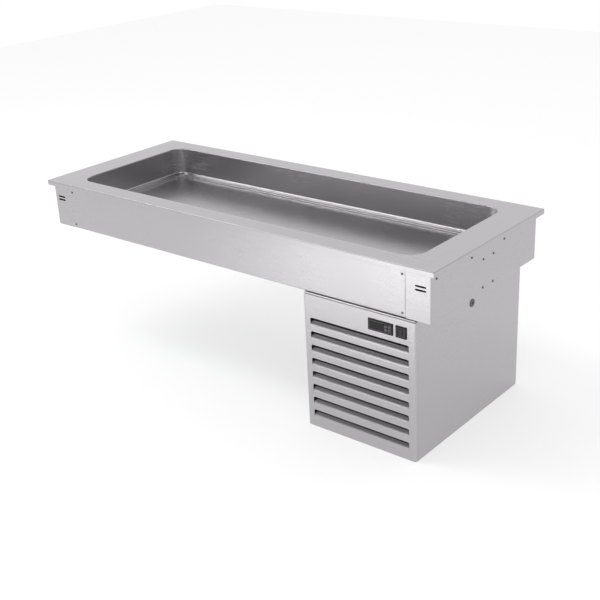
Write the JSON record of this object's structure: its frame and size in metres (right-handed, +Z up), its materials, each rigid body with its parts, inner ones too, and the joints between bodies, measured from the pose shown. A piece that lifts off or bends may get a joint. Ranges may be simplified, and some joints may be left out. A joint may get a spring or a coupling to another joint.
{
  "type": "refrigerated drop-in well",
  "caption": "Refrigerated well with a flange that hangs in a counter cut-out, a panelled insulated casing, and a louvred cabinet below one end with the cooling machine and controls.",
  "frame": {"origin": "middle of the unit in plan, level with the foot of the cabinet", "axes": "+X along the counter towards the cabinet end, -Y towards the controls, +Z up"},
  "size_m": [1.72, 0.66, 0.655],
  "materials": {
    "stainless": "brushed stainless sheet",
    "stainless_well": "satin stainless pressing",
    "galvanised": "galvanised sheet",
    "screw_steel": "plain steel fastener",
    "chrome": "polished steel",
    "aluminium": "mill aluminium fin",
    "cast_motor": "cast aluminium",
    "brass": "forged brass",
    "copper": "drawn copper tube",
    "red_paint": "dipped lever",
    "black_paint": "black enamel",
    "rubber": "matte rubber",
    "foam": "rigid polyurethane foam",
    "white_plastic": "moulded plastic",
    "dark_plastic": "moulded dark plastic",
    "black_plastic": "black moulded plastic",
    "button_plastic": "soft button",
    "display": "tinted window, display off"
  },
  "bodies": {
    "unit": {"top_flange": "stainless", "well_walls": "stainless_well", "well_corners": "stainless_well", "well_floor": "stainless_well", "drain_strainer": "stainless", "drain_washer": "rubber", "drain_tail": "stainless", "drain_nut": "brass", "valve_body": "brass", "valve_seats": "white_plastic", "evaporator_coil": "copper", "temperature_probe": "stainless", "foam_floor": "foam", "foam_walls": "foam", "insulation_shell": "galvanised", "front_panel": "stainless", "back_panel": "stainless", "left_end_panel": "stainless", "right_end_panel": "stainless", "panel_posts": "galvanised", "end_hangers": "galvanised", "panel_screws": "screw_steel", "end_screws": "screw_steel", "terminal_box": "white_plastic", "terminal_box_lid": "white_plastic", "terminal_box_screws": "screw_steel", "cabinet_left_side": "stainless", "cabinet_right_side": "stainless", "cabinet_back": "stainless", "cabinet_base": "galvanised", "cabinet_nuts": "screw_steel", "cord_grommet": "rubber", "front_grille": "stainless", "control_case": "dark_plastic", "display_window": "display", "switch_frame": "dark_plastic", "compressor_shell": "black_paint", "compressor_plate": "black_paint", "compressor_feet": "rubber", "compressor_bolts": "screw_steel", "compressor_terminal_cover": "black_plastic", "condenser_fins": "aluminium", "condenser_tubes": "copper", "fan_shroud": "black_paint", "fan_bracket": "black_paint", "fan_motor": "cast_motor", "filter_drier": "copper", "discharge_line": "copper", "liquid_line": "copper", "capillary_tube": "copper", "suction_line": "copper"},
    "fan": {"fan_shaft": "chrome", "fan_blade": "black_plastic"},
    "rocker": {"switch_rocker": "black_plastic"},
    "set_button": {"button_set": "button_plastic"},
    "up_button": {"button_up": "button_plastic"},
    "light_button": {"button_light": "button_plastic"},
    "down_button": {"button_down": "button_plastic"},
    "drain_lever": {"valve_ball": "chrome", "valve_stem": "chrome", "valve_lever": "red_paint"}
  },
  "joints": [
    {"name": "fan_spin", "type": "hinge", "parent": "unit", "child": "fan", "pos_m": [0.5775, -0.2, 0.16], "axis": [0, -1, 0], "continuous": true},
    {"name": "rocker_tilt", "type": "hinge", "parent": "unit", "child": "rocker", "pos_m": [0.7385, -0.313, 0.433], "axis": [-1, 0, 0], "range_deg": [0, 14]},
    {"name": "set_press", "type": "slide", "parent": "unit", "child": "set_button", "axis": [0, 1, 0], "range_m": [0, 0.0006], "stiffness_N_per_m": 400},
    {"name": "up_press", "type": "slide", "parent": "unit", "child": "up_button", "axis": [0, 1, 0], "range_m": [0, 0.0006], "stiffness_N_per_m": 400},
    {"name": "light_press", "type": "slide", "parent": "unit", "child": "light_button", "axis": [0, 1, 0], "range_m": [0, 0.0006], "stiffness_N_per_m": 400},
    {"name": "down_press", "type": "slide", "parent": "unit", "child": "down_button", "axis": [0, 1, 0], "range_m": [0, 0.0006], "stiffness_N_per_m": 400},
    {"name": "drain_turn", "type": "hinge", "parent": "unit", "child": "drain_lever", "pos_m": [0.25, -0.08, 0.451], "axis": [0, -1, 0], "range_deg": [0, 90]}
  ]
}
